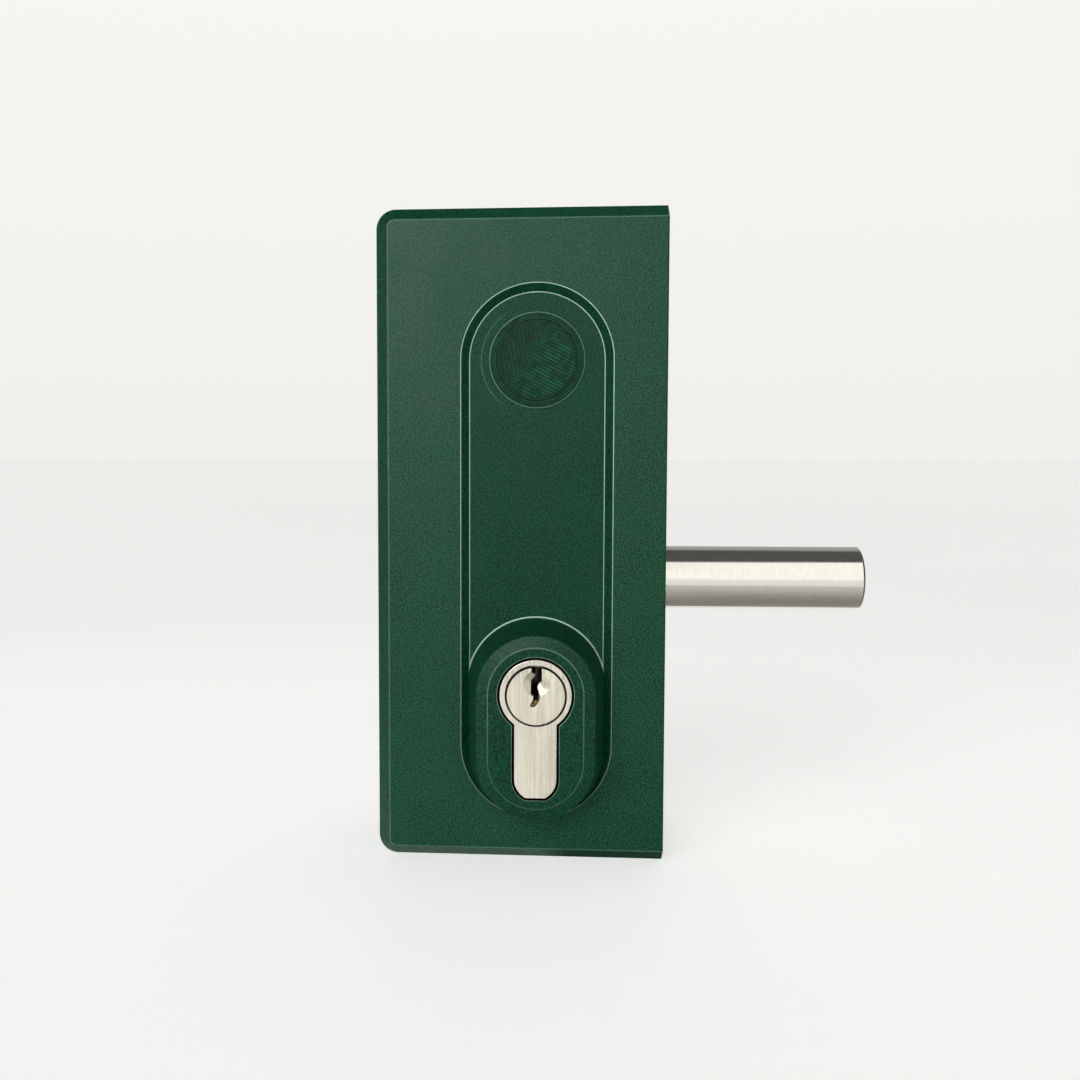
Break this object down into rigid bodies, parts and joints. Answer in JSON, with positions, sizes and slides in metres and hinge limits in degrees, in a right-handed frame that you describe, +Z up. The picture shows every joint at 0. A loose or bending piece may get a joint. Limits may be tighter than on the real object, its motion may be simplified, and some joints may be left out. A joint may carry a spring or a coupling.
{
  "type": "gate lock",
  "caption": "Bolt-on gate deadlock: bevelled cast case, round sliding bolt worked by a double profile cylinder, threaded fixings in the mounting side.",
  "frame": {"origin": "on the mounting face, where the axis of the bolt crosses it, midway between the two fixing holes", "axes": "+X the way the bolt is thrown, out of the mounting face; -Y towards the front of the lock; +Z up"},
  "size_m": [0.12, 0.0606, 0.1587],
  "materials": {
    "green_coat": "moss-green powder coat on a zinc-alloy casting, fine orange peel",
    "stainless": "satin stainless plate",
    "stainless_bar": "ground stainless bar",
    "screw_stainless": "stainless socket screw",
    "bronze": "sintered bronze",
    "zinc_steel": "zinc-plated steel",
    "spring_steel": "blued spring steel",
    "satin_nickel": "brass, satin nickel plated, brushed lengthwise",
    "satin_nickel_plug": "brass, satin nickel plated, brushed lengthwise",
    "pin_brass": "turned brass"
  },
  "bodies": {
    "case": {"front_cover": "green_coat", "rear_cover": "green_coat", "edge_plate": "stainless", "fixing_inserts": "zinc_steel", "bolt_bush": "bronze", "bolt_guide": "zinc_steel", "guide_screws": "zinc_steel", "locking_spring": "spring_steel", "spring_screws": "zinc_steel", "cylinder_body": "satin_nickel", "driver_pins": "pin_brass", "pin_springs": "spring_steel", "chamber_plugs": "pin_brass", "cylinder_screw": "zinc_steel", "cover_screws": "screw_stainless"},
    "sliding_bolt": {"bolt": "stainless_bar", "bolt_tail": "zinc_steel", "tail_screws": "zinc_steel"},
    "cylinder_clutch": {"clutch": "zinc_steel"},
    "key_core": {"front_plug": "satin_nickel_plug", "rear_plug": "satin_nickel_plug", "plug_clips": "spring_steel", "cam": "zinc_steel", "key_pins": "pin_brass"}
  },
  "joints": [
    {"name": "bolt_slide", "type": "slide", "parent": "case", "child": "sliding_bolt", "axis": [1, 0, 0], "range_m": [-0.02, 0], "deforming": ["locking_spring"]},
    {"name": "cam_drive", "type": "hinge", "parent": "case", "child": "cylinder_clutch", "pos_m": [-0.031, 0, -0.0249], "axis": [0, -1, 0], "range_deg": [0, 84]},
    {"name": "key_turn", "type": "hinge", "parent": "cylinder_clutch", "child": "key_core", "pos_m": [-0.031, 0, -0.0249], "axis": [0, -1, 0], "range_deg": [-138, 138]}
  ],
  "couplings": [
    {"joint": "cam_drive", "follows": "bolt_slide", "rad_per_m": -73.3}
  ]
}
